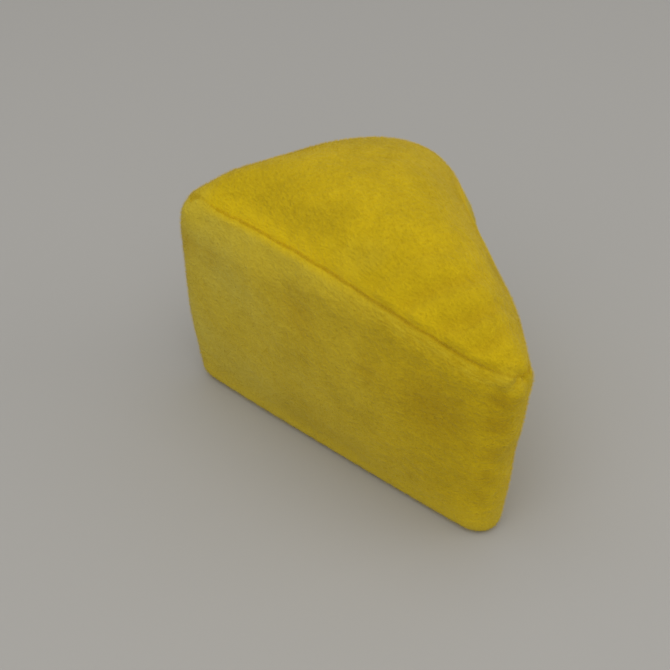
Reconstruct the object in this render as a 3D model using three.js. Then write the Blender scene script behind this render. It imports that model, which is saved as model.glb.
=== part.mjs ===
import * as THREE from "three";

// A stuffed plush wedge of cheese, sewn from a domed top panel, one side strip that wraps right
// round it and a flat base panel. Millimetres, +Z up: the tip points along +X, and the broad back
// faces -X. Corners run counter-clockwise from above: near back corner, tip, far back corner.

// Plan of the top seam: the points where its sides would meet if they were drawn straight.
const tipReach = 73;
const backReach = 44;
const backHalfWidth = 42.5;
const farCornerSetback = 2;

// How far from those points the seam's corners start to round.
const seamRounding = { nearCorner: 5, tip: 12, farCorner: 28 };

// How far each side of the seam bows out over its first and its second half: the tip is plump, and
// both long sides draw in towards the back.
const seamBow = { near: [-3, 7], far: [2.5, -3], back: [2, 2.5] };

// The base panel is cut a little smaller than the top, most of all at the tip.
const footTipSetback = 6.5;
const footNearSetback = new THREE.Vector2(0, 1.5);
const footFarSetback = new THREE.Vector2(2, -0.5);
const footRounding = { nearCorner: 7, tip: 16, farCorner: 22 };
const footBow = { near: [0.5, 0.5], far: [1, 1], back: [3, 3] };
const footRadius = 4.5;

// Height of the seam and swell of the side strip at six stations, with smooth runs between them.
const stations = ["nearCorner", "nearSide", "tip", "farSide", "farCorner", "back"];
const seamHeight = { nearCorner: 60.5, nearSide: 62, tip: 57, farSide: 58.5, farCorner: 56, back: 58 };
const stripSwell = { nearCorner: 2, nearSide: 4, tip: 0, farSide: 4, farCorner: 4, back: 3 };

// The strip is pulled in a little where it meets the seam, over the top part of its height.
const seamPull = 1;
const seamPullStart = 0.85;

// The stuffed dome of the top panel: its full rise, how fast it rises, and how much wider than the
// seam the triangle is that the dome is worked out on.
const domeRise = 19;
const domePower = 0.7;
const domeSpread = 1.28;
const domeCentre = new THREE.Vector2(-8, 0);

// Steps round each corner and along each side, and rings over each panel.
const cornerSteps = 6;
const sideSteps = 18;
const topRings = 12;
const stripRings = 12;
const footRings = 3;
const baseRings = 4;

// Half the reach of a corner, counted in stations.
const cornerSpan = 0.25;

const clothColour = new THREE.Color("#dcb90c");
const clothRoughness = 0.95;

// One side of a panel: a cubic curve between two corners that bows out over each of its halves.
function panelSide(from, to, cutFrom, cutTo, bow) {
  const along = to.clone().sub(from).normalize();
  const outward = new THREE.Vector2(along.y, -along.x);
  const start = from.clone().addScaledVector(along, cutFrom);
  const end = to.clone().addScaledVector(along, -cutTo);
  // A cubic curve reaches three quarters of the way out to a pair of equal control points.
  const reach = 4 / 3;
  const control = (t, out) => start.clone().lerp(end, t).addScaledVector(outward, out * reach);
  return new THREE.CubicBezierCurve(start, control(1 / 3, bow[0]), control(2 / 3, bow[1]), end);
}

// A rounded corner: the near-circular curve that carries one side on into the next.
function panelCorner(before, after) {
  const start = before.getPoint(1);
  const end = after.getPoint(0);
  const arriving = before.getTangent(1);
  const leaving = after.getTangent(0);
  const turn = Math.acos(arriving.dot(leaving));
  const radius = start.distanceTo(end) / (2 * Math.sin(turn / 2));
  const handle = (4 / 3) * Math.tan(turn / 4) * radius;
  return new THREE.CubicBezierCurve(
    start,
    start.clone().addScaledVector(arriving, handle),
    end.clone().addScaledVector(leaving, -handle),
    end,
  );
}

// Points round a panel's edge, each with its outward direction and its station: a corner is an even
// station, and the middle of a side an odd one.
function panelEdge(corners, rounding, bow) {
  const cuts = [rounding.nearCorner, rounding.tip, rounding.farCorner];
  const bows = [bow.near, bow.far, bow.back];
  const sides = corners.map((corner, i) => {
    const next = (i + 1) % corners.length;
    return panelSide(corner, corners[next], cuts[i], cuts[next], bows[i]);
  });

  const edge = [];
  const addRun = (curve, steps, firstStation, lastStation) => {
    for (let step = 0; step < steps; step++) {
      const t = step / steps;
      const tangent = curve.getTangent(t);
      edge.push({
        point: curve.getPoint(t),
        outward: new THREE.Vector2(tangent.y, -tangent.x),
        station: THREE.MathUtils.lerp(firstStation, lastStation, t),
      });
    }
  };
  sides.forEach((side, i) => {
    const corner = 2 * i;
    addRun(panelCorner(sides.at(i - 1), side), cornerSteps, corner - cornerSpan, corner + cornerSpan);
    addRun(side, sideSteps, corner + cornerSpan, corner + 2 - cornerSpan);
  });
  return edge;
}

const seamCorners = [
  new THREE.Vector2(-backReach, -backHalfWidth),
  new THREE.Vector2(tipReach, 0),
  new THREE.Vector2(farCornerSetback - backReach, backHalfWidth),
];
const footCorners = [
  seamCorners[0].clone().add(footNearSetback),
  seamCorners[1].clone().setX(tipReach - footTipSetback),
  seamCorners[2].clone().add(footFarSetback),
];
const seamMiddle = new THREE.Vector2();
seamCorners.forEach((corner) => seamMiddle.addScaledVector(corner, 1 / seamCorners.length));
const domeTriangle = new THREE.Triangle(...seamCorners.map((corner) => {
  const wide = seamMiddle.clone().lerp(corner, domeSpread);
  return new THREE.Vector3(wide.x, wide.y, 0);
}));
const seamLevel = stations.reduce((sum, name) => sum + seamHeight[name], 0) / stations.length;
const seam = panelEdge(seamCorners, seamRounding, seamBow);
const foot = panelEdge(footCorners, footRounding, footBow);

// Smooth value between two neighbouring stations.
function atStation(values, station) {
  const count = stations.length;
  const lower = Math.floor(station);
  const from = values[stations[(lower + count) % count]];
  const to = values[stations[(lower + 1) % count]];
  return THREE.MathUtils.lerp(from, to, THREE.MathUtils.smoothstep(station - lower, 0, 1));
}

// The side strip in one column, from the foot (rise 0) up to the seam (rise 1).
function onStrip(column, rise) {
  const { point, outward, station } = seam[column];
  const pull = seamPull * Math.max(0, (rise - seamPullStart) / (1 - seamPullStart)) ** 2;
  const swell = atStation(stripSwell, station) * 4 * rise * (1 - rise);
  const flat = foot[column].point.clone().lerp(point, rise).addScaledVector(outward, swell - pull);
  const height = THREE.MathUtils.lerp(footRadius, atStation(seamHeight, station), rise);
  return new THREE.Vector3(flat.x, flat.y, height);
}

// Share of the dome's rise at a place in plan, as for a skin blown up over the dome's triangle: the
// product of the distances from the three sides, which is 1 at the centroid and 0 along the sides.
function domeShare(flat) {
  const inside = domeTriangle.getBarycoord(new THREE.Vector3(flat.x, flat.y, 0), new THREE.Vector3());
  const shares = inside.toArray().map((share) => 3 * share);
  return (shares[0] * shares[1] * shares[2]) ** domePower;
}

// The top panel, from the middle of the dome (reach 0) out to the seam (reach 1).
function onTop(column, reach) {
  const edge = onStrip(column, 1);
  const flat = domeCentre.clone().lerp(edge, reach);
  const level = THREE.MathUtils.lerp(seamLevel, edge.z, reach ** 2);
  const lift = domeShare(flat) - domeShare(edge) * reach ** 4;
  return new THREE.Vector3(flat.x, flat.y, level + domeRise * lift);
}

// The rounding from the strip (turn 0) under to the base (turn 1).
function onFoot(column, turn) {
  const angle = (Math.PI / 2) * turn;
  const { point, outward } = foot[column];
  const flat = point.clone().addScaledVector(outward, footRadius * (Math.cos(angle) - 1));
  return new THREE.Vector3(flat.x, flat.y, footRadius * (1 - Math.sin(angle)));
}

// The flat base panel, from its edge (reach 1) in to its middle (reach 0).
function onBase(column, reach) {
  const flat = domeCentre.clone().lerp(onFoot(column, 1), reach);
  return new THREE.Vector3(flat.x, flat.y, 0);
}

// A point of the cloth by its ring, counted from the top of the dome down to the middle of the base.
function onCloth(column, ring) {
  const stripRing = ring - topRings;
  const footRing = stripRing - stripRings;
  const baseRing = footRing - footRings;
  if (stripRing <= 0) return onTop(column, Math.sin((Math.PI / 2) * (ring / topRings)));
  if (footRing <= 0) return onStrip(column, 1 - stripRing / stripRings);
  if (baseRing <= 0) return onFoot(column, footRing / footRings);
  return onBase(column, 1 - baseRing / baseRings);
}

// The closed skin: a sphere's rings carried onto the panels, with the middle of its box's base at 0.
function plushSkin() {
  const columns = seam.length;
  const rings = topRings + stripRings + footRings + baseRings;
  const skin = new THREE.SphereGeometry(1, columns, rings);
  const places = skin.getAttribute("position");
  for (let i = 0; i < places.count; i++) {
    const ring = Math.floor(i / (columns + 1));
    const column = (i % (columns + 1)) % columns;
    const place = onCloth(column, ring);
    places.setXYZ(i, place.x, place.y, place.z);
  }
  skin.computeBoundingBox();
  const middle = skin.boundingBox.getCenter(new THREE.Vector3());
  skin.translate(-middle.x, -middle.y, -skin.boundingBox.min.z);
  skin.computeVertexNormals();
  return skin;
}

const cloth = new THREE.MeshStandardMaterial({
  color: clothColour,
  roughness: clothRoughness,
  metalness: 0,
});

const wedge = new THREE.Mesh(plushSkin(), cloth);
wedge.name = "plush_wedge";

const toy = new THREE.Group();
toy.add(wedge);

export default toy;
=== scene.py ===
import math

import bmesh
import bpy
import numpy as np
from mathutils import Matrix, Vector, noise
from mathutils.bvhtree import BVHTree


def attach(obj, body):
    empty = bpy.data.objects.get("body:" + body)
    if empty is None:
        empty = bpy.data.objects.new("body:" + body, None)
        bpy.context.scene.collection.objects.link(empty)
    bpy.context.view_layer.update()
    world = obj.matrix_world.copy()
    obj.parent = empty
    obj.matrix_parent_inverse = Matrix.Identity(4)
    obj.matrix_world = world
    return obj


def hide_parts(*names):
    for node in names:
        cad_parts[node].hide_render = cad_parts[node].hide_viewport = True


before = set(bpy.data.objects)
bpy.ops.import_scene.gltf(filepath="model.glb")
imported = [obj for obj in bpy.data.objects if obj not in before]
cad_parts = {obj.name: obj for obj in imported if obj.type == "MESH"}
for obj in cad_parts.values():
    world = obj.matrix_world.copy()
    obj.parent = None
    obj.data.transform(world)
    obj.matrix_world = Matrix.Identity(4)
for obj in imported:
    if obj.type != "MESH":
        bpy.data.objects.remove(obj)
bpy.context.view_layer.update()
print("frame loaded:", list(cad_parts))

mm = 0.001


def at(x, y, z):                                       # a place or a move in millimetres
    return Vector((x, y, z)) * mm


# camera and studio

view = {
    "azimuth": 62.76,                                  # degrees, 0 looks along +Y
    "elevation": 36.13,
    "distance": 378.25 * mm,
    "target": at(-10.53, -12.44, 30.0),
    "lens": 75.22,
    "sensor": 36.0,
    "clipStart": 0.01,
}

studio = {
    "floorSize": 6.0,
    "floorColour": (0.405, 0.396, 0.376),
    "floorCloud": (3.0, 0.985),                        # scale and darkest share of its faint unevenness
    "floorRoughness": 0.75,
    "domeColour": (1.0, 0.985, 0.965),
    "domeStrength": 0.5,
    "lampAim": (0, 0, 0.03),
    "lamps": {                                         # place, width and power of each soft light
        "overhead": (Vector((0.10, -0.05, 1.0)), 1.2, 3.0),
        "frontFill": (Vector((0.65, -0.57, 0.68)), 1.4, 4.1),
        "rightFill": (Vector((0.60, 0.90, 0.50)), 1.0, 2.2),
    },
}


def aimAt(thing, place, target):
    thing.location = place
    thing.rotation_euler = (Vector(target) - Vector(place)).to_track_quat("-Z", "Y").to_euler()


def makeCamera(v):
    data = bpy.data.cameras.new("photoCamera")
    data.lens = v["lens"]
    data.sensor_width = v["sensor"]
    data.clip_start = v["clipStart"]
    camera = bpy.data.objects.new("photoCamera", data)
    bpy.context.collection.objects.link(camera)
    turn, lift = math.radians(v["azimuth"]), math.radians(v["elevation"])
    back = Vector((math.sin(turn) * math.cos(lift), -math.cos(turn) * math.cos(lift), math.sin(lift)))
    aimAt(camera, v["target"] + back * v["distance"], v["target"])
    bpy.context.scene.camera = camera


# shader tools

class Wire:                                            # an output socket that can be used in arithmetic
    def __init__(self, finish, socket):
        self.finish = finish
        self.socket = socket

    def maths(self, operation, first, second):
        return self.finish.add("ShaderNodeMath", {"operation": operation}, {0: first, 1: second})

    def __add__(self, other):
        return self.maths("ADD", self, other)

    def __sub__(self, other):
        return self.maths("SUBTRACT", self, other)

    def __rsub__(self, other):
        return self.maths("SUBTRACT", other, self)

    def __mul__(self, other):
        return self.maths("MULTIPLY", self, other)

    __radd__ = __add__
    __rmul__ = __mul__


class Finish:                                          # one material and its nodes
    def __init__(self, name):
        self.material = bpy.data.materials.new(name)
        self.material.use_nodes = True
        self.tree = self.material.node_tree
        self.tree.nodes.clear()

    def add(self, kind, settings=None, sockets=None, output=0):
        node = self.tree.nodes.new(kind)
        for key, value in (settings or {}).items():
            setattr(node, key, value)
        for key, value in (sockets or {}).items():
            if isinstance(value, Wire):
                self.tree.links.new(value.socket, node.inputs[key])
            else:
                node.inputs[key].default_value = value
        return Wire(self, node.outputs[output]) if node.outputs else None

    def noise(self, where, scale, detail=2.0, roughness=0.5):
        return self.add("ShaderNodeTexNoise", {"noise_dimensions": "3D"},
                        {"Vector": where, "Scale": scale, "Detail": detail, "Roughness": roughness})

    def mixColour(self, factor, first, second):        # each colour is a wire or three numbers
        sockets = {0: factor}
        for key, colour in {6: first, 7: second}.items():
            sockets[key] = colour if isinstance(colour, Wire) else (*colour, 1.0)
        return self.add("ShaderNodeMix", {"data_type": "RGBA"}, sockets, output=2)

    def attribute(self, name):
        return self.add("ShaderNodeAttribute", {"attribute_name": name}, output=2)

    def spread(self, value, low, high):                # a value from low to high, stretched to 0..1
        return self.add("ShaderNodeMapRange", {"clamp": True}, {0: value, 1: low, 2: high})

    def finish(self, shader):
        self.add("ShaderNodeOutputMaterial", {}, {"Surface": shader})
        return self.material


# studio

def floorFinish(s):
    f = Finish("paleFloor")
    where = f.add("ShaderNodeTexCoord", output=3)
    scale, darkest = s["floorCloud"]
    darker = [channel * darkest for channel in s["floorColour"]]
    shade = f.mixColour(f.noise(where, scale), s["floorColour"], darker)
    sockets = {"Base Color": shade, "Roughness": s["floorRoughness"]}
    return f.finish(f.add("ShaderNodeBsdfPrincipled", {}, sockets))


def makeStudio(s):
    bm = bmesh.new()
    bmesh.ops.create_grid(bm, x_segments=2, y_segments=2, size=s["floorSize"] / 2)
    floor = meshObject("floor", bm)
    floor.data.materials.append(floorFinish(s))

    world = bpy.data.worlds.new("softTent")
    world.use_nodes = True
    sky = world.node_tree.nodes["Background"]
    sky.inputs["Color"].default_value = (*s["domeColour"], 1.0)
    sky.inputs["Strength"].default_value = s["domeStrength"]
    bpy.context.scene.world = world

    for name, (place, width, power) in s["lamps"].items():
        data = bpy.data.lights.new(name, "AREA")
        data.shape = "DISK"
        data.size = width
        data.energy = power
        lamp = bpy.data.objects.new(name, data)
        bpy.context.collection.objects.link(lamp)
        aimAt(lamp, place, s["lampAim"])
    bpy.context.scene.view_settings.view_transform = "Standard"


# mesh and number tools

def meshObject(name, bm):
    mesh = bpy.data.meshes.new(name)
    bm.to_mesh(mesh)
    bm.free()
    piece = bpy.data.objects.new(name, mesh)
    bpy.context.collection.objects.link(piece)
    return piece


def pointsOf(mesh, normals=False):
    flat = np.empty(len(mesh.vertices) * 3)
    if normals:
        mesh.vertex_normals.foreach_get("vector", flat)
    else:
        mesh.vertices.foreach_get("co", flat)
    return flat.reshape(-1, 3)


def setPoints(mesh, points):
    mesh.vertices.foreach_set("co", np.ascontiguousarray(points, dtype=np.float64).ravel())
    mesh.update()


def setValues(mesh, name, values):
    mesh.attributes.new(name, "FLOAT", "POINT").data.foreach_set("value", np.ascontiguousarray(values))


def getValues(mesh, name):
    values = np.empty(len(mesh.vertices))
    mesh.attributes[name].data.foreach_get("value", values)
    return values


def edgeEnds(mesh):                                    # both ends of each edge, and the edges at each point
    ends = np.empty(len(mesh.edges) * 2, dtype=np.int32)
    mesh.edges.foreach_get("vertices", ends)
    return *ends.reshape(-1, 2).T, np.bincount(ends, minlength=len(mesh.vertices))


def applyModifiers(piece):
    graph = bpy.context.evaluated_depsgraph_get()
    mesh = bpy.data.meshes.new_from_object(piece.evaluated_get(graph))
    piece.modifiers.clear()
    old = piece.data
    piece.data = mesh
    bpy.data.meshes.remove(old)


def fromPlace(points, place):                          # how far each point is from one place
    return np.linalg.norm(points - np.array(place), axis=1)


def hill(distance, width):                             # 1 at the middle, falling smoothly to 0
    return np.exp(-(distance / width) ** 2)


def ramp(value, low, high):                            # 0 at low and 1 at high, either way round
    t = np.clip((value - low) / (high - low), 0, 1)
    return t * t * (3 - 2 * t)


def lumps(points, size, seed, stretch=(1, 1, 1)):      # smooth noise in space, about -1 to 1
    offset = Vector((seed, seed * 1.7, seed * 0.6))
    scale = np.array(stretch) / size
    return np.array([noise.noise(Vector(p) + offset) for p in points * scale]) * 1.6


def spots(points, rows):                               # soft round marks: place, half width, height
    total = np.zeros(len(points))
    for place, width, height in rows:
        total += height * hill(fromPlace(points, place), width)
    return total


# sewn lines, read off the solid's rings of points

def mergedNode(name):
    bm = bmesh.new()
    bm.from_mesh(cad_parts[name].data)
    bmesh.ops.remove_doubles(bm, verts=bm.verts, dist=0.005 * mm)
    bm.normal_update()
    return bm


def ringFromTop(bm, count):                            # the ring that many edges from the dome's middle
    middle = max(bm.verts, key=lambda v: (len(v.link_edges), v.co.z))
    seen, ring = {middle}, {middle}
    for step in range(count):
        ring = {e.other_vert(v) for v in ring for e in v.link_edges} - seen
        seen |= ring
    path = [min(ring, key=lambda v: v.co.x)]
    while len(path) < len(ring):
        beside = [e.other_vert(path[-1]) for e in path[-1].link_edges]
        path.append(next(v for v in beside if v in ring and v not in path))
    return np.array([v.co[:] for v in path])


class SewnLine:                                        # a seam as a smooth closed line of even steps
    def __init__(self, ring, spacing=0.5 * mm, smoothing=6):
        closed = np.vstack([ring, ring[:1]])
        along = np.concatenate([[0], np.cumsum(np.linalg.norm(np.diff(closed, axis=0), axis=1))])
        self.along = np.arange(0, along[-1], spacing)
        self.places = np.stack([np.interp(self.along, along, axis) for axis in closed.T], axis=1)
        for turn in range(smoothing):
            self.places = (np.roll(self.places, 1, 0) + 2 * self.places + np.roll(self.places, -1, 0)) / 4
        run = np.roll(self.places, -1, 0) - np.roll(self.places, 1, 0)
        self.outward = np.stack([run[:, 1], -run[:, 0], 0 * run[:, 0]], axis=1)
        self.outward /= np.linalg.norm(self.outward, axis=1, keepdims=True)
        middle = self.places.mean(axis=0)
        if ((self.places - middle) * self.outward).sum() < 0:
            self.outward *= -1

    def bend(self, place, reach, move):                # eases a short run of the line to one side
        weight = hill(fromPlace(self.places, place), reach)
        self.places += weight[:, None] * np.array(move)

    def settle(self, piece):                           # lays the line on the skin
        surface = BVHTree.FromObject(piece, bpy.context.evaluated_depsgraph_get())
        self.places = np.array([surface.find_nearest(place)[0] for place in self.places])

    def nearest(self, points, block=4000):             # for each point, the nearest place and how far it is
        index = np.empty(len(points), dtype=int)
        gap = np.empty(len(points))
        for start in range(0, len(points), block):
            part = points[start:start + block]
            square = ((part[:, None, :] - self.places[None, :, :]) ** 2).sum(axis=2)
            index[start:start + block] = square.argmin(axis=1)
            gap[start:start + block] = np.sqrt(square.min(axis=1))
        return index, gap

    def waves(self, spacing, seed):                    # smooth noise along the line, about -1 to 1
        return np.array([noise.noise(Vector((v / spacing, seed, 0.37))) for v in self.along]) * 1.8


# the stuffed skin

skin = {
    "node": "plush_wedge",
    "slot": "plush",
    "topSeamRing": 12,                                 # rings from the dome's middle to each seam
    "baseSeamRing": 27,
    "shrink": 0.6 * mm,                                # the filling swells the skin back out
    "voxel": 2.0 * mm,
    "sewnReach": 2.2 * mm,                             # cloth this close to a seam is held by its thread
    "baseHeld": 2.0 * mm,                              # and so is cloth this close to the table
    "quality": 6,
    "stiffness": 5,
    "bending": 0.05,
    "pressure": 6.0,
    "pointMass": 0.0005,
    "frames": 20,
    "cap": 1.6 * mm,
    "subdivide": 2,
    "refineReach": 2.2 * mm,
    "fitTurns": 12,
    "standsProud": 0.1 * mm,                           # how far the finished skin lies outside the solid
    "fill": 0.85,
}

tipRun = (-10.0 * mm, 30.0 * mm)                       # along X, where the tip's tighter seam begins
stripRun = (-45.0 * mm, 40.0 * mm)                     # along X, where the shoulder narrows

thread = {
    "drift": (14.0 * mm, 3.0 * mm),                    # spacing of the seam's slow and quick wandering
    "quickShare": 0.7,
    "uneven": (4.0 * mm, 0.7),                         # spacing and share of the uneven pull
}

topSeam = {
    "lower": 0.5 * mm,                                 # the thread lies this far below the solid's edge
    "bends": [                                         # place, reach and move where the line leaves the edge
        (at(-46.0, -35.5, 60.8), 4.5 * mm, at(0.4, 0.3, 2.0)),
        (at(40.0, 8.5, 57.5), 13.0 * mm, at(0.0, 0.0, -4.0)),
    ],
    "valley": (0.06 * mm, 0.40 * mm),                  # depth and half width of the line the thread pulls in
    "rounding": (0.05 * mm, 1.5 * mm),                 # the cloth that turns down into it
    "tipPull": 2.5,                                    # how much more the thread pulls towards the tip
    "lip": (0.2 * mm, 2.4 * mm, 1.0 * mm),             # rise, place and half width of the rim above it
    "pucker": (0.16 * mm, 3.4 * mm, 3.2 * mm),         # rise, spacing and reach of the stitches' puckers
    "wander": 0.3 * mm,
    "looser": [                                        # place, reach and share of the pull that is kept
        (at(-47.0, -34.5, 61.5), 8.0 * mm, 0.05),
        (at(55.0, 0.0, 57.0), 7.0 * mm, 0.35),
    ],
    "fainter": (1.2 * mm, 0.3 * mm),                   # how its painted shade fades where it is looser, and broad
}

baseSeam = {
    "valley": (0.6 * mm, 0.6 * mm),
    "rounding": (0.2 * mm, 1.5 * mm),
    "pucker": (0.05 * mm, 4.0 * mm, 3.0 * mm),
    "tipPull": 0.0,
    "wander": 0.0,
    "looser": [],
}

shoulder = {                                           # the strip rolls in to the seam
    "height": (10.5 * mm, 5.0 * mm),                   # at the broad end and at the tip
    "drop": (0.12 * mm, 0.35 * mm),
    "roll": 1.8 * mm,                                  # the top panel turns down to it over this width
    "bulge": (0.55 * mm, 0.6),                         # rise, and width as a share of the height
    "glow": (9.0 * mm, 3.0 * mm),                      # reach of the painted highlight above and below the seam
    "glowLost": (0.75, 1.0),                           # share of it that is gone at the tip, above and below
    "paleLost": 0.7,                                   # share of the painted highlight on the shoulder that is gone at the tip
    "streak": (0.05 * mm, 3.5 * mm, 0.7 * mm),         # relief, length and spacing of the brushed lines
    "streakRun": (-5.0 * mm, 25.0 * mm),               # along X, where they begin
}

foot = {                                               # the filling presses the strip out above the table
    "height": 4.0 * mm,
    "fuller": 0.8 * mm,
    "swell": (0.3, 0.7),                               # place and half width, as shares of the height
}

ripples = {                                            # shallow folds across the top, near the tip, with painted shade in their hollows
    "places": [24.0 * mm, 33.6 * mm, 42.3 * mm, 48.6 * mm],
    "widths": [2.6 * mm, 2.5 * mm, 2.1 * mm, 1.6 * mm],
    "depths": [0.3 * mm, 0.7 * mm, 0.7 * mm, 0.45 * mm],
    "hollowShades": [0.3, 0.6, 0.6, 0.5],
    "crest": (0.6, 1.7),                               # height and distance of the swelling in front of each
    "fade": (12.0 * mm, 1.0 * mm),                     # they die out towards the far side
    "sweep": 0.45,                                     # how far the folds trail back towards the sides
    "blunt": 3.0 * mm,                                 # roundness of their turn in the middle
    "sway": (9.0 * mm, 0.8 * mm),                      # spacing and size of their unevenness
    "clear": 3.5 * mm,
}

gathers = {                                            # small folds of the strip that fan out from the tip
    "reach": 8.0 * mm,
    "rise": 0.34 * mm,
    "folds": 5.5,
    "turn": 0.7,
    "above": 1.0 * mm,                                 # they fan out from this far above the seam
    "notch": 0.9 * mm,
    "notchWidth": 2.4 * mm,
}

easedCorners = [                                       # place, reach and turns of smoothing
    (at(-45.0, -37.5, 60.5), 8.0 * mm, 8),
    (at(55.5, 0.0, 57.0), 4.0 * mm, 3),
    (at(47.0, 6.0, 58.0), 6.0 * mm, 4),
]

softSpots = [                                          # place, half width and rise of swellings and hollows
    (at(-46.0, -38.4, 59.0), 6.0 * mm, 1.4 * mm),
    (at(-46.5, -38.5, 48.5), 4.0 * mm, -0.5 * mm),
    (at(54.4, -0.9, 54.6), 2.2 * mm, 0.6 * mm),
    (at(51.5, 4.0, 27.0), 6.0 * mm, -1.0 * mm),
    (at(47.0, 4.0, 7.0), 7.0 * mm, 0.3 * mm),
    (at(-41.0, -31.0, 66.5), 9.0 * mm, 0.9 * mm),
    (at(12.0, 13.0, 71.5), 7.0 * mm, -0.9 * mm),
    (at(43.8, -5.1, 14.7), 7.0 * mm, -0.7 * mm),
    (at(38.1, -11.1, 38.6), 8.0 * mm, -0.6 * mm),
    (at(20.0, -19.8, 40.9), 9.0 * mm, -0.5 * mm),
    (at(-5.7, -27.3, 50.7), 7.0 * mm, -0.55 * mm),
]

paintedLightMarks = [                                           # place, half width and strength of painted highlights (above 0) and painted shade (below 0)
    (at(-45.0, -38.0, 57.0), 6.0 * mm, 1.0),
    (at(54.0, -1.5, 54.4), 4.0 * mm, 0.9),
    (at(53.6, -1.8, 49.5), 3.5 * mm, -1.3),
    (at(52.9, -1.6, 41.0), 3.5 * mm, -1.1),
    (at(51.2, -1.8, 30.5), 3.5 * mm, -0.7),
    (at(49.8, -1.9, 22.0), 3.5 * mm, -0.7),
    (at(38.1, -11.1, 38.6), 11.0 * mm, -0.9),
    (at(-42.5, -34.5, 62.5), 3.0 * mm, 0.7),
    (at(-3.0, -27.0, 46.0), 7.0 * mm, -0.7),
    (at(20.0, -19.8, 40.9), 6.0 * mm, -0.5),
    (at(-46.0, -38.5, 48.5), 5.0 * mm, -0.8),
    (at(-36.0, -36.5, 48.0), 6.0 * mm, -0.5),
    (at(48.4, -2.0, 14.5), 3.0 * mm, -0.5),
    (at(14.1, -13.5, 69.3), 6.0 * mm, 0.4),
    (at(-30.0, -34.0, 30.0), 10.0 * mm, 0.5),
    (at(8.0, -18.0, 64.0), 7.0 * mm, 0.5),
]

nap = {
    "lump": (16.0 * mm, 0.32 * mm),                    # size and relief of the filling's lumps
    "tuft": (2.6 * mm, 0.07 * mm),                     # and of the pile's clumps
    "brush": (0.5, 1.0, 1.0),
    "clearOfFloor": (0.5 * mm, 6.0 * mm),
    "clearOfSeam": 6.0 * mm,
}

stripTint = {
    "lemonRun": (58.0 * mm, -50.0 * mm),               # along X, from the tip to where the strip's painted sheen is palest
    "lemonShare": 0.85,
    "lemonPatch": (20.0 * mm, 0.3),                    # size and strength of its unevenness
    "footBand": (12.0 * mm, 3.0 * mm),                 # heights between which the foot's colour comes in
}


def evenSkin(s, bm):                                   # the solid's skin as an even net of small squares
    for v, place in [(v, v.co - v.normal * s["shrink"]) for v in bm.verts]:
        v.co = place
    piece = meshObject("plush_skin", bm)
    remesh = piece.modifiers.new("evenCloth", "REMESH")
    remesh.mode = "VOXEL"
    remesh.voxel_size = s["voxel"]
    applyModifiers(piece)
    return piece


def stuff(s, piece, sewn):                             # the filling swells the cloth between its seams
    start = pointsOf(piece.data)
    piece.vertex_groups.new(name="sewn").add([int(i) for i in np.nonzero(sewn)[0]], 1.0, "REPLACE")
    cloth = piece.modifiers.new("stuffing", "CLOTH")
    cloth.settings.quality = s["quality"]
    cloth.settings.mass = s["pointMass"]
    cloth.settings.tension_stiffness = s["stiffness"]
    cloth.settings.compression_stiffness = s["stiffness"]
    cloth.settings.bending_stiffness = s["bending"]
    cloth.settings.vertex_group_mass = "sewn"
    cloth.settings.use_pressure = True
    cloth.settings.uniform_pressure_force = s["pressure"]
    cloth.settings.effector_weights.gravity = 0
    cloth.point_cache.frame_start = 1
    cloth.point_cache.frame_end = s["frames"]
    for number in range(1, s["frames"] + 1):
        bpy.context.scene.frame_set(number)
    graph = bpy.context.evaluated_depsgraph_get()
    move = pointsOf(piece.evaluated_get(graph).data) - start
    bpy.context.scene.frame_set(1)
    piece.modifiers.clear()
    piece.vertex_groups.clear()
    length = np.linalg.norm(move, axis=1, keepdims=True)
    setPoints(piece.data, start + move * np.minimum(1.0, s["cap"] / np.maximum(length, 1e-9)))
    print("stuffing moved the cloth", round(float(length.mean()) / mm, 2), "mm, and at most",
          round(float(length.max()) / mm, 2), "mm before the cap")


def fitToSolid(s, piece, solid):                       # brings the stuffed skin back to its size
    points = pointsOf(piece.data)
    normals = pointsOf(piece.data, normals=True)
    proud = np.empty(len(points))
    for i, point in enumerate(points):
        place, facing = solid.find_nearest(point)[:2]
        proud[i] = (Vector(point) - place).dot(facing)
    print("skin lay", round(float(proud.mean()) / mm, 2), "mm outside the solid, spread",
          round(float(proud.std()) / mm, 2), "mm")
    first, second, count = edgeEnds(piece.data)
    for turn in range(s["fitTurns"]):
        beside = np.bincount(first, proud[second], len(points))
        beside = beside + np.bincount(second, proud[first], len(points))
        proud = (proud + beside / count) / 2
    setPoints(piece.data, points + normals * (s["standsProud"] - proud)[:, None])


def roundOff(piece, place, reach, turns):              # eases the corner of a panel, as its filling does
    points = pointsOf(piece.data)
    weight = hill(fromPlace(points, place), reach)[:, None]
    first, second, count = edgeEnds(piece.data)
    for turn in range(turns):
        beside = np.zeros_like(points)
        np.add.at(beside, first, points[second])
        np.add.at(beside, second, points[first])
        points = points + weight * (beside / count[:, None] - points)
    setPoints(piece.data, points)


def refineNear(piece, line, reach):
    bm = bmesh.new()
    bm.from_mesh(piece.data)
    close = line.nearest(pointsOf(piece.data))[1] < reach
    bm.verts.index_update()
    edges = [e for e in bm.edges if close[e.verts[0].index] and close[e.verts[1].index]]
    bmesh.ops.subdivide_edges(bm, edges=edges, cuts=1, use_grid_fill=True)
    bm.to_mesh(piece.data)
    bm.free()


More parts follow.
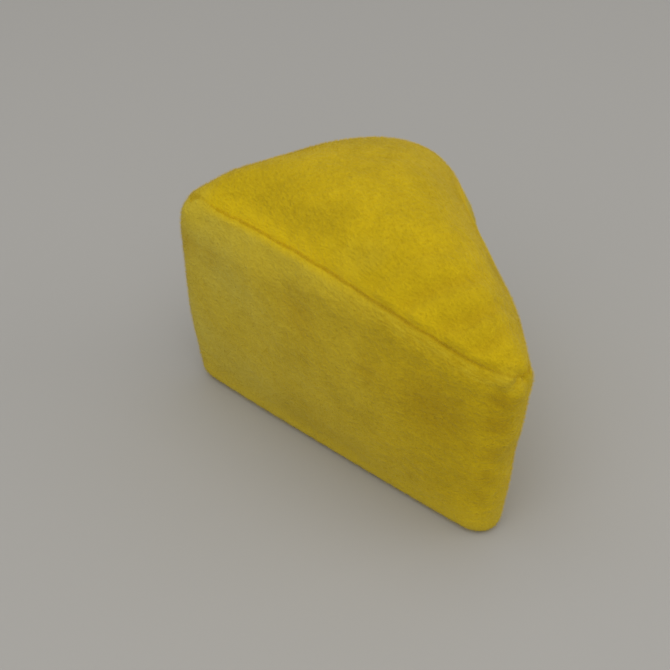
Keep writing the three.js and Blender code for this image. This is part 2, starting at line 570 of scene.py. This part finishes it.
def seamRise(s, line, points):                         # what the thread does to the cloth along one seam
    slow, quick = thread["drift"]
    drift = s["wander"] * (line.waves(slow, seed=3.1) + thread["quickShare"] * line.waves(quick, seed=5.9))
    wavy = SewnLine(line.places + np.array([0, 0, 1]) * drift[:, None])
    index, gap = wavy.nearest(points)
    spacing, share = thread["uneven"]
    uneven = 1 + share * wavy.waves(spacing, seed=7.7)[index]
    pull = 1 + s["tipPull"] * ramp(points[:, 0], *tipRun)
    depth, width = s["valley"]
    rise = -depth * uneven * pull * hill(gap, width)
    depth, width = s["rounding"]
    rise -= depth * pull * hill(gap, width)
    height, spacing, width = s["pucker"]
    rise += height * wavy.waves(spacing, seed=11.3)[index] * hill(gap, width)
    held = np.ones(len(points))
    for place, width, keep in s["looser"]:
        held *= 1 - (1 - keep) * hill(fromPlace(points, place), width)
    return rise * held, gap, index, held


def shoulderRise(s, points, gap, along, onTop, onStrip, tight):
    narrowing = ramp(points[:, 0], *stripRun)
    broad, narrow = s["height"]
    height = broad + (narrow - broad) * narrowing
    rolled = np.where(onStrip, np.clip(1 - gap / height, 0, 1), 0)
    broad, narrow = s["drop"]
    drop = tight * (broad + (narrow - broad) * narrowing)
    rise = -drop * np.where(onTop, hill(gap, s["roll"]), rolled ** 2)
    relief, length, spacing = s["streak"]
    streaks = lumps(np.stack([along / length, gap / spacing, 0 * gap], axis=1), 1.0, seed=3.7)
    brushed = 4 * rolled * (1 - rolled) * ramp(points[:, 0], *s["streakRun"])
    rise += relief * streaks * brushed
    swell, share = s["bulge"]
    rise += np.where(onStrip, swell * hill(gap - height, share * height), 0)
    return rise, rolled, brushed


def rippleRise(r, points, gap, onTop):
    spacing, size = r["sway"]
    across = points[:, 0] + r["sweep"] * np.sqrt(points[:, 1] ** 2 + r["blunt"] ** 2)
    across += size * lumps(points, spacing, seed=5.2)
    clear = np.where(onTop, ramp(gap, 0, r["clear"]), 0) * ramp(points[:, 1], *r["fade"])
    crest, ahead = r["crest"]
    rise, shade = np.zeros((2, len(points)))
    for place, width, depth, dark in zip(r["places"], r["widths"], r["depths"], r["hollowShades"]):
        hollow = clear * hill(across - place, width)
        rise -= depth * (hollow - crest * clear * hill(across - place - ahead * width, width))
        # painted shade in the hollow
        shade -= dark * hollow
    return rise, shade


def gatherRise(g, points, tip, onStrip):
    fromTip = points - tip
    reach = np.linalg.norm(fromTip, axis=1)
    fan = np.arctan2(fromTip[:, 1], -fromTip[:, 2] + g["above"])
    folds = np.cos(g["folds"] * fan + g["turn"]) * hill(reach - 0.5 * g["reach"], g["reach"])
    return np.where(onStrip, g["rise"] * folds, 0) - g["notch"] * hill(reach, g["notchWidth"])


def napRise(n, points, gap):
    held = ramp(points[:, 2], *n["clearOfFloor"])
    size, relief = n["lump"]
    rise = relief * lumps(points, size, seed=2.4) * held * ramp(gap, 0, n["clearOfSeam"])
    size, relief = n["tuft"]
    return rise + relief * lumps(points, size, 8.1, n["brush"]) * held


def sculpt(piece, top, base):                          # shapes the skin and returns what its colours follow
    points = pointsOf(piece.data)
    normals = pointsOf(piece.data, normals=True)
    rise, gap, index, tight = seamRise(topSeam, top, points)
    baseRise, baseGap = seamRise(baseSeam, base, points)[:2]
    rise += baseRise

    away = points - top.places[index]
    along = top.along[index]
    onTop = away[:, 2] - (away * top.outward[index]).sum(axis=1) > 0
    onStrip = ~onTop & (points[:, 2] > foot["height"])
    tipward = ramp(points[:, 0], *tipRun)
    height, place, width = topSeam["lip"]
    rise += np.where(onTop, height * tipward * hill(gap - place, width), 0)
    rollRise, rolled, brushed = shoulderRise(shoulder, points, gap, along, onTop, onStrip, tight)
    rise += rollRise
    place, width = [share * foot["height"] for share in foot["swell"]]
    rise += np.where(onTop, 0, foot["fuller"] * hill(points[:, 2] - place, width))
    foldRise, paintedLightShade = rippleRise(ripples, points, gap, onTop)
    rise += foldRise
    rise += gatherRise(gathers, points, top.places[top.places[:, 0].argmax()], onStrip)
    rise += spots(points, softSpots)
    paintedLightShade += spots(points, paintedLightMarks)
    rise += napRise(nap, points, gap)

    points = points + normals * rise[:, None]
    points[:, 2] = np.maximum(points[:, 2], 0)
    setPoints(piece.data, points)

    size, strength = stripTint["lemonPatch"]
    patchy = stripTint["lemonShare"] + strength * lumps(points, size, seed=9.9)
    lemon = np.where(onTop, 0, ramp(points[:, 0], *stripTint["lemonRun"])) * patchy
    fadeLoose, fadeBroad = topSeam["fainter"]
    seamGap = gap + fadeLoose * (1 - tight) + fadeBroad * (1 - tipward)
    highlightKept = 1 - np.where(onTop, *shoulder["glowLost"]) * tipward
    return {
        "lemon": np.clip(lemon, 0, 1),
        "seamGap": np.minimum(seamGap, baseGap) / mm,
        "belowSeam": np.where(onTop, -gap, gap) / mm,
        "alongSeam": along / mm,
        "shoulderHighlight": np.clip(2 * rolled, 0, 1) * (1 - shoulder["paleLost"] * tipward),
        "brushed": brushed,
        # painted highlight along the seam, strongest at the thread and fading towards the tip
        "paintedSeamHighlight": tight * highlightKept * (1 - ramp(gap, 0, np.where(onTop, *shoulder["glow"]))),
        "footBand": np.where(onTop, 0, ramp(points[:, 2], *stripTint["footBand"])),
        "paintedLightShade": paintedLightShade,
    }


def makeSkin(s):
    bm = mergedNode(s["node"])
    top = SewnLine(ringFromTop(bm, s["topSeamRing"]))
    top.places[:, 2] -= topSeam["lower"]
    for place, reach, move in topSeam["bends"]:
        top.bend(place, reach, move)
    base = SewnLine(ringFromTop(bm, s["baseSeamRing"]))
    solid = BVHTree.FromBMesh(bm)
    print("seams found:", round(top.along[-1] / mm), "and", round(base.along[-1] / mm), "mm round")
    piece = evenSkin(s, bm)
    points = pointsOf(piece.data)
    sewn = (top.nearest(points)[1] < s["sewnReach"]) | (points[:, 2] < s["baseHeld"])
    print("even skin:", len(piece.data.polygons), "faces,", int(sewn.sum()), "points sewn down")
    stuff(s, piece, sewn)
    fitToSolid(s, piece, solid)
    for place, reach, turns in easedCorners:
        roundOff(piece, place, reach, turns)
    fine = piece.modifiers.new("fineCloth", "SUBSURF")
    fine.levels = fine.render_levels = s["subdivide"]
    applyModifiers(piece)
    top.settle(piece)
    refineNear(piece, top, s["refineReach"])
    for name, values in sculpt(piece, top, base).items():
        setValues(piece.data, name, values)
    piece.data.polygons.foreach_set("use_smooth", [True] * len(piece.data.polygons))
    print("skin sewn and shaped:", len(piece.data.vertices), "points")
    return piece, top


# plush cloth

plush = {
    "bright": (0.625, 0.447, 0.003),
    "deep": (0.475, 0.333, 0.002),
    "rim": (0.76, 0.545, 0.003),                       # painted highlight along the seam
    "lemon": (0.555, 0.455, 0.06),                     # painted sheen, towards the broad end of the side strip
    # painted shade in the seam's crease
    "valley": (0.52, 0.335, 0.0005),
    # pale for painted highlights and for the brushed streaks; brown for painted shade and for the brushed
    # streaks
    "paleHighlightAndStreaks": (0.575, 0.44, 0.024),
    "brownShadeAndStreaks": (0.42, 0.268, 0.002),
    "foot": (0.58, 0.43, 0.016),
    "stretch": (0.55, 1.0, 1.0),                       # the nap's clumps are longer along X
    "blotch": (70.0, 2.0, 0.5),                        # scale, detail and roughness of each unevenness
    "tuft": (420.0, 3.0, 0.6),
    "fibre": (1500.0, 2.0, 0.6),
    "mottleShares": (0.5, 0.3, 0.4),                   # of blotch, tuft and fibre
    "mottleSpan": (0.45, 0.77),
    "markSpan": (0.15, 1.0),
    "markStrength": 0.6,
    "shoulderHighlightSpan": (0.1, 0.8),
    "shoulderHighlightStrength": 0.3,
    "streakScale": (0.25, 1.4),                        # along and across the brushed lines
    "streakSpan": (0.4, 0.62),
    "paleStreaks": 0.4,
    "brownStreaks": 0.35,
    "seamHighlightStrength": 0.8,
    "seamShadeSpan": (0.1, 0.9),                          # mm from the thread
    "seamShadeStrength": 0.6,
    "bumpShares": (0.6, 0.5),                          # of tuft and fibre
    "bumpDepth": 0.8 * mm,
    "roughness": 0.92,
    "specular": 0.2,
    "sheen": 0.12,
    "sheenRoughness": 0.45,
    "sheenTint": (0.97, 1.0, 0.6),
}


def clothColour(f, p):                                 # mottled, with painted highlights on the shoulder and along the seam and painted shade in the seam
    where = f.add("ShaderNodeTexCoord", output=3)
    brushed = f.add("ShaderNodeMapping", {}, {"Vector": where, "Scale": p["stretch"]})
    blotch = f.noise(where, *p["blotch"])
    tuft = f.noise(brushed, *p["tuft"])
    fibre = f.noise(brushed, *p["fibre"])
    blotchShare, tuftShare, fibreShare = p["mottleShares"]
    mottle = f.spread(blotch * blotchShare + tuft * tuftShare + fibre * fibreShare, *p["mottleSpan"])
    colour = f.mixColour(mottle, p["deep"], p["bright"])
    # painted sheen: the side strip paler and greener towards its broad end
    colour = f.mixColour(f.attribute("lemon") * (0.5 + mottle * 0.5), colour, p["lemon"])

    # painted highlights and painted shade from the marks and from the ripples' hollows
    marked = f.attribute("paintedLightShade") + (tuft - 0.5) * 0.5
    colour = f.mixColour(f.spread(marked, *p["markSpan"]) * p["markStrength"], colour, p["paleHighlightAndStreaks"])
    colour = f.mixColour(f.spread(0.0 - marked, *p["markSpan"]) * p["markStrength"], colour, p["brownShadeAndStreaks"])

    along, across = p["streakScale"]
    combed = f.add("ShaderNodeCombineXYZ", {}, {
        0: f.attribute("alongSeam") * along,
        1: f.attribute("belowSeam") * across,
    })
    streak = f.spread(f.noise(combed, 1.0, 3.0), *p["streakSpan"])
    band = f.spread(f.attribute("shoulderHighlight") + (tuft - 0.5) * 0.7, *p["shoulderHighlightSpan"])
    # painted highlight on the rolled shoulder below the seam
    colour = f.mixColour(band * p["shoulderHighlightStrength"], colour, p["paleHighlightAndStreaks"])
    colour = f.mixColour(f.attribute("brushed") * streak * p["paleStreaks"], colour, p["paleHighlightAndStreaks"])
    colour = f.mixColour(f.attribute("brushed") * (1.0 - streak) * p["brownStreaks"], colour, p["brownShadeAndStreaks"])

    colour = f.mixColour(f.attribute("footBand") * (0.4 + mottle * 0.4), colour, p["foot"])
    # painted highlight along the seam
    colour = f.mixColour(f.attribute("paintedSeamHighlight") * p["seamHighlightStrength"], colour, p["rim"])
    # painted shade in the seam's crease, fading with distance from the thread
    sunk = 1.0 - f.spread(f.attribute("seamGap"), *p["seamShadeSpan"])
    colour = f.mixColour(sunk * p["seamShadeStrength"], colour, p["valley"])
    tuftShare, fibreShare = p["bumpShares"]
    return colour, tuft * tuftShare + fibre * fibreShare


def plushFinish(p):
    f = Finish("plushCloth")
    colour, relief = clothColour(f, p)
    bump = f.add("ShaderNodeBump", {}, {"Strength": 1.0, "Distance": p["bumpDepth"], "Height": relief})
    return f.finish(f.add("ShaderNodeBsdfPrincipled", {}, {
        "Base Color": colour,
        "Roughness": p["roughness"],
        "Normal": bump,
        "Specular IOR Level": p["specular"],
        "Sheen Weight": p["sheen"],
        "Sheen Roughness": p["sheenRoughness"],
        "Sheen Tint": (*p["sheenTint"], 1.0),
    }))


# the pile: short fibres that stand on the skin and lean the way the cloth was brushed

pile = {
    "seed": 17,
    "sides": ("pile_top", "pile_near", "pile_far", "pile_back"),
    "blades": 60000,                                   # on each side
    "length": (0.5 * mm, 0.95 * mm),
    "width": 0.05 * mm,
    "backFacing": -0.75,                               # the strip is the back where it faces this far to -X
    "lean": 0.9,
    "leanSpread": (0.5, 1.2),
    "stray": 0.35,
    "swirl": (11.0 * mm, 0.5),                         # size and strength of the turns in the nap
    "sunk": 0.1 * mm,                                  # roots start below the skin
    "clearOfFloor": 1.2 * mm,
    "lowestTip": 0.05 * mm,
    "combTop": (0.46, 0.89, 0.0),
    "combUp": 0.3,                                     # on the strip it runs along and a little upwards
    "combDown": 0.8,                                   # at the seam it turns outwards and down
    "tuftBlades": 9000,                                # fibres of the top's edge that lap over the seam
    "tuftReach": 0.9,                                  # mm from the seam
    "tuftLength": (0.5 * mm, 0.9 * mm),
    # paler fibre tips: painted sheen
    "tip": (0.91, 0.74, 0.035),
    "tipStrength": 0.6,
    "through": 0.3,                                    # share of light that passes through a fibre
    "roughness": 0.5,
    "specular": 0.4,
    "sheen": 0.1,
    "sheenRoughness": 0.5,
}

clothValues = ("lemon", "seamGap", "belowSeam", "alongSeam", "shoulderHighlight", "brushed", "paintedSeamHighlight",
               "footBand", "paintedLightShade")


def skinTriangles(mesh):
    mesh.calc_loop_triangles()
    corners = np.empty(len(mesh.loop_triangles) * 3, dtype=np.int32)
    mesh.loop_triangles.foreach_get("vertices", corners)
    return corners.reshape(-1, 3)


def skinSides(p, points, top, below):                  # the number of the side that each place belongs to
    outward = top.outward[top.nearest(points)[0]]
    strip = np.where(outward[:, 1] < 0, p["sides"].index("pile_near"), p["sides"].index("pile_far"))
    strip = np.where(outward[:, 0] < p["backFacing"], p["sides"].index("pile_back"), strip)
    return np.where(below < 0, p["sides"].index("pile_top"), strip)


def fibreMesh(name, roots, tips, sideways):            # one thin triangle for each fibre
    count = len(roots)
    corners = np.stack([roots - sideways, roots + sideways, tips], axis=1)
    mesh = bpy.data.meshes.new(name)
    mesh.vertices.add(count * 3)
    mesh.vertices.foreach_set("co", corners.reshape(-1))
    mesh.loops.add(count * 3)
    mesh.loops.foreach_set("vertex_index", np.arange(count * 3, dtype=np.int32))
    mesh.polygons.add(count)
    mesh.polygons.foreach_set("loop_start", np.arange(0, count * 3, 3, dtype=np.int32))
    mesh.update(calc_edges=True)
    setValues(mesh, "rise", np.tile(np.array([0, 0, 1.0]), count))
    piece = bpy.data.objects.new(name, mesh)
    bpy.context.collection.objects.link(piece)
    return piece


def combing(p, name, outward):                         # the way the pile was brushed, before it strays
    if name == "pile_top":
        return np.array(p["combTop"])
    if name == "pile_seam":
        return outward - np.array([0, 0, p["combDown"]])
    return np.stack([-outward[:, 1], outward[:, 0], np.full(len(outward), p["combUp"])], axis=1)


def makePile(p, skinPiece, top):
    draw = np.random.default_rng(p["seed"])
    points = pointsOf(skinPiece.data)
    normals = pointsOf(skinPiece.data, normals=True)
    triangles = skinTriangles(skinPiece.data)
    values = {name: getValues(skinPiece.data, name) for name in clothValues}
    centre = points[triangles].mean(axis=1)
    below = values["belowSeam"][triangles].mean(axis=1)
    side = skinSides(p, centre, top, below)
    edge = (below < 0) & (below > -p["tuftReach"])
    a, b, c = points[triangles].transpose(1, 0, 2)
    area = np.linalg.norm(np.cross(b - a, c - a), axis=1)
    area[centre[:, 2] < p["clearOfFloor"]] = 0
    regions = {name: (side == number, p["blades"], p["length"]) for number, name in enumerate(p["sides"])}
    regions["pile_seam"] = (edge, p["tuftBlades"], p["tuftLength"])
    swirlSize, swirl = p["swirl"]
    pieces = []
    for name, (covered, blades, span) in regions.items():
        share = np.where(covered, area, 0)
        chosen = draw.choice(len(triangles), blades, p=share / share.sum())
        u, v = draw.random((2, blades, 1))
        fold = u + v > 1
        u, v = np.where(fold, 1 - u, u), np.where(fold, 1 - v, v)
        weights = np.concatenate([1 - u - v, u, v], axis=1)[:, :, None]
        roots = (points[triangles[chosen]] * weights).sum(axis=1)
        facing = (normals[triangles[chosen]] * weights).sum(axis=1)
        facing /= np.linalg.norm(facing, axis=1, keepdims=True)
        comb = combing(p, name, top.outward[top.nearest(roots)[0]])
        flow = comb + swirl * np.stack([lumps(roots, swirlSize, seed) for seed in (1.3, 4.4, 6.8)], axis=1)
        flow += p["stray"] * draw.normal(size=roots.shape)
        flow -= facing * (flow * facing).sum(axis=1, keepdims=True)
        flow *= p["lean"] / np.maximum(np.linalg.norm(flow, axis=1, keepdims=True), 1e-6)
        aim = facing + flow * draw.uniform(*p["leanSpread"], size=(len(roots), 1))
        aim /= np.linalg.norm(aim, axis=1, keepdims=True)
        length = draw.uniform(*span, size=(len(roots), 1))
        sideways = np.cross(aim, draw.normal(size=aim.shape))
        sideways *= p["width"] / 2 / np.linalg.norm(sideways, axis=1, keepdims=True)
        tips = roots + aim * length
        tips[:, 2] = np.maximum(tips[:, 2], p["lowestTip"])
        piece = fibreMesh(name, roots - facing * p["sunk"], tips, sideways)
        for key, value in values.items():
            rooted = (value[triangles[chosen]] * weights[:, :, 0]).sum(axis=1)
            setValues(piece.data, key, np.repeat(rooted, 3))
        pieces.append(piece)
    return pieces


def pileFinish(p, cloth):
    f = Finish("plushPile")
    # fibres paler towards their tips: painted sheen
    colour = f.mixColour(f.attribute("rise") * p["tipStrength"], clothColour(f, cloth)[0], p["tip"])
    fibre = f.add("ShaderNodeBsdfPrincipled", {}, {
        "Base Color": colour,
        "Roughness": p["roughness"],
        "Specular IOR Level": p["specular"],
        "Sheen Weight": p["sheen"],
        "Sheen Roughness": p["sheenRoughness"],
        "Sheen Tint": (*cloth["sheenTint"], 1.0),
    })
    glow = f.add("ShaderNodeBsdfTranslucent", {}, {"Color": colour})
    return f.finish(f.add("ShaderNodeMixShader", {}, {0: p["through"], 1: fibre, 2: glow}))


makeCamera(view)
makeStudio(studio)
print("camera and studio ready")

plushSkin, seamLine = makeSkin(skin)
plushSkin.data.materials.clear()
plushSkin.data.materials.append(plushFinish(plush))
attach(plushSkin, "root")
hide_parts(skin["node"])
print("plush skin finished")

pilePieces = makePile(pile, plushSkin, seamLine)
pileCloth = pileFinish(pile, plush)
for piece in pilePieces:
    piece.data.materials.append(pileCloth)
    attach(piece, "root")
print("pile laid:", sum(len(piece.data.polygons) for piece in pilePieces), "fibres")
